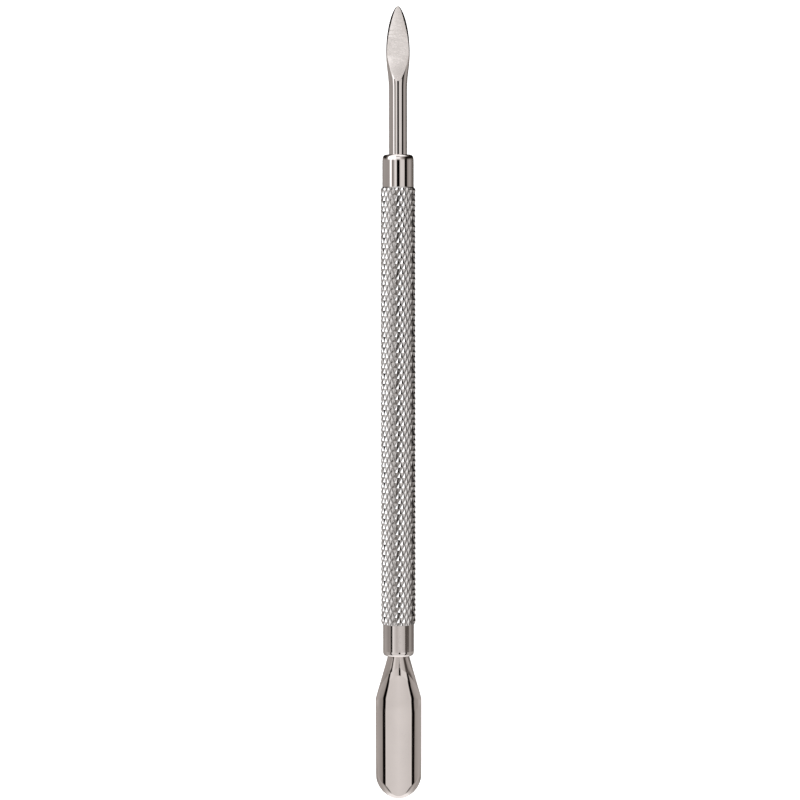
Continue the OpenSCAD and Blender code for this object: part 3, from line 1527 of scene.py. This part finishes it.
@dataclass
class Studio:
    """The table, the light round it and the camera."""

    distance: float = 407.0 * MM
    lean: float = 3.0
    roll: float = -0.001
    aim: Point = (0.0, 1.13 * MM, 3.0 * MM)
    side_shift: float = 0.00235
    lens: float = 106.2
    sensor: float = 36.0
    table_size: float = 3.0
    table_colour: Colour = (0.9, 0.9, 0.9)
    table_glow: float = 0.72
    table_roughness: float = 0.9
    table_gap: float = 0.05 * MM
    backdrop: Colour = (0.9, 0.9, 0.9)
    warmth: tuple[float, float] = (1.05, 1.09)
    lamp_height: float = 0.9
    lamp_size: float = 0.7
    lamp_power: float = 4.0
    zones: tuple[Zone, ...] = ROOM

    def _ramp(self, n: Nodes, value: bpy.types.NodeSocket, stops: tuple[Band, ...]) -> bpy.types.NodeSocket:
        """Turn an angle into a brightness.

        Args:
            n: Helper on the world's tree.
            value: The angle, as 0 to 1 for -180 to 180 degrees.
            stops: The light's stops.

        Returns:
            The brightness.
        """
        curve = n.add("ShaderNodeFloatCurve")
        line = curve.mapping.curves[0]
        top = max(b.level for b in stops)
        places = [((b.degrees + 180.0) / 360.0, b.level / top) for b in stops]
        line.points[0].location = places[0]
        line.points[-1].location = places[-1]
        for place in places[1:-1]:
            line.points.new(*place)
        for p in line.points:
            p.handle_type = "VECTOR"
        curve.mapping.update()
        n.link(value, curve.inputs["Value"])
        return n.math("MULTIPLY", curve.outputs[0], top)

    def light(self) -> None:
        """Light the room: soft panels all round the tool, and a wide lamp over the table."""
        world = bpy.data.worlds.new("studio")
        bpy.context.scene.world = world
        world.use_nodes = True
        n = Nodes(world.node_tree)
        back = world.node_tree.nodes["Background"]
        place = n.add("ShaderNodeTexCoord")
        xyz = n.add("ShaderNodeSeparateXYZ")
        n.link(place.outputs["Generated"], xyz.inputs[0])
        angle = n.math("ARCTAN2", xyz.outputs[0], xyz.outputs[2])
        share = n.math("MULTIPLY_ADD", angle, 1.0 / math.tau, 0.5)
        level = self._ramp(n, share, self.zones[0].bands)
        for zone in self.zones[1:]:
            blend = n.add("ShaderNodeMix", data_type="FLOAT")
            n.link(n.span(xyz.outputs[1], zone.begins, zone.full, 0.0, 1.0), blend.inputs["Factor"])
            n.link(level, blend.inputs["A"])
            n.link(self._ramp(n, share, zone.bands), blend.inputs["B"])
            level = blend.outputs["Result"]
        path = n.add("ShaderNodeLightPath")
        plain = n.add("ShaderNodeMix", data_type="RGBA")
        n.link(path.outputs["Is Camera Ray"], plain.inputs["Factor"])
        warm = n.add("ShaderNodeCombineColor")
        n.link(level, warm.inputs[0])
        for socket, power in zip(warm.inputs[1:], self.warmth):
            n.link(n.math("POWER", level, power), socket)
        n.link(warm.outputs[0], plain.inputs["A"])
        plain.inputs["B"].default_value = (*self.backdrop, 1.0)
        n.link(plain.outputs["Result"], back.inputs["Color"])
        lamp = bpy.data.lights.new("overhead_lamp", "AREA")
        lamp.shape = "SQUARE"
        lamp.size = self.lamp_size
        lamp.energy = self.lamp_power
        holder = bpy.data.objects.new("overhead_lamp", lamp)
        holder.location = (0.0, 0.0, self.lamp_height)
        holder.visible_glossy = False
        bpy.context.collection.objects.link(holder)

    def table(self) -> None:
        """Lay out the pale table top."""
        Bench.clear()
        bpy.ops.mesh.primitive_plane_add(size=self.table_size, location=(0.0, 0.0, -self.table_gap))
        top = Bench.named("table_top")
        Bench.settle(top)
        material = bpy.data.materials.new("pale_table")
        material.use_nodes = True
        shader = material.node_tree.nodes["Principled BSDF"]
        shader.inputs["Base Color"].default_value = (*self.table_colour, 1.0)
        shader.inputs["Roughness"].default_value = self.table_roughness
        shader.inputs["Emission Color"].default_value = (1.0, 1.0, 1.0, 1.0)
        shader.inputs["Emission Strength"].default_value = self.table_glow
        dress(top, material)
        top.visible_glossy = False

    def camera(self) -> None:
        """Put the camera over the tool, leaning a little towards the spear."""
        lean = math.radians(self.lean)
        data = bpy.data.cameras.new("camera")
        data.sensor_width = self.sensor
        data.lens = self.lens
        data.shift_x = self.side_shift
        data.clip_start = 0.01
        data.clip_end = 10.0
        camera = bpy.data.objects.new("camera", data)
        bpy.context.collection.objects.link(camera)
        camera.location = (
            self.aim[0],
            self.aim[1] + self.distance * math.sin(lean),
            self.aim[2] + self.distance * math.cos(lean),
        )
        camera.rotation_euler = (-lean, 0.0, self.roll)
        bpy.context.scene.camera = camera

    def build(self) -> None:
        """Set up the table, the light and the camera."""
        self.table()
        self.light()
        self.camera()
        bpy.context.scene.view_settings.view_transform = "Standard"


# ---------------------------------------------------------------- the tool


def main() -> None:
    """Build the cuticle pusher and its studio."""
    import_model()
    tint = (0.86, 0.80, 0.775)
    grip_finish = KnurledSteel(
        name="knurled_steel",
        slot="knurled_steel",
        crest_colour=(0.84, 0.81, 0.80),
        # Painted shade in the knurl's grooves.
        groove_shade_colour=(0.42, 0.40, 0.39),
        axis=AXIS,
        root=Grip.crest_r - Grip.depth,
        crest=Grip.crest_r,
    )
    collar_finish = PolishedSteel("polished_steel", "polished_steel", tint)
    spear_finish = PolishedSteel("spear_steel", "spear_steel", tint)
    face_finish = GroundSteel("ground_face", "spear_steel", (0.82, 0.76, 0.73))
    spoon_finish = PolishedSteel("spoon_steel", "spoon_steel", (0.86, 0.79, 0.76))
    assemblies = [
        Grip(grip_finish),
        Collar(collar_finish, End.SPEAR, "spear_collar", shoulder_h=1.6 * MM, shoulder_power=4.0),
        Collar(collar_finish, End.SPOON, "spoon_collar"),
        Spear(spear_finish, face_finish),
        Spoon(spoon_finish),
    ]
    for assembly in assemblies:
        for piece in assembly.build():
            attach(piece, "root")
            LOG.info("%s: %d faces", piece.name, len(piece.data.polygons))
    Studio().build()


if __name__ == "__main__":
    logging.basicConfig(level=logging.INFO)
    main()
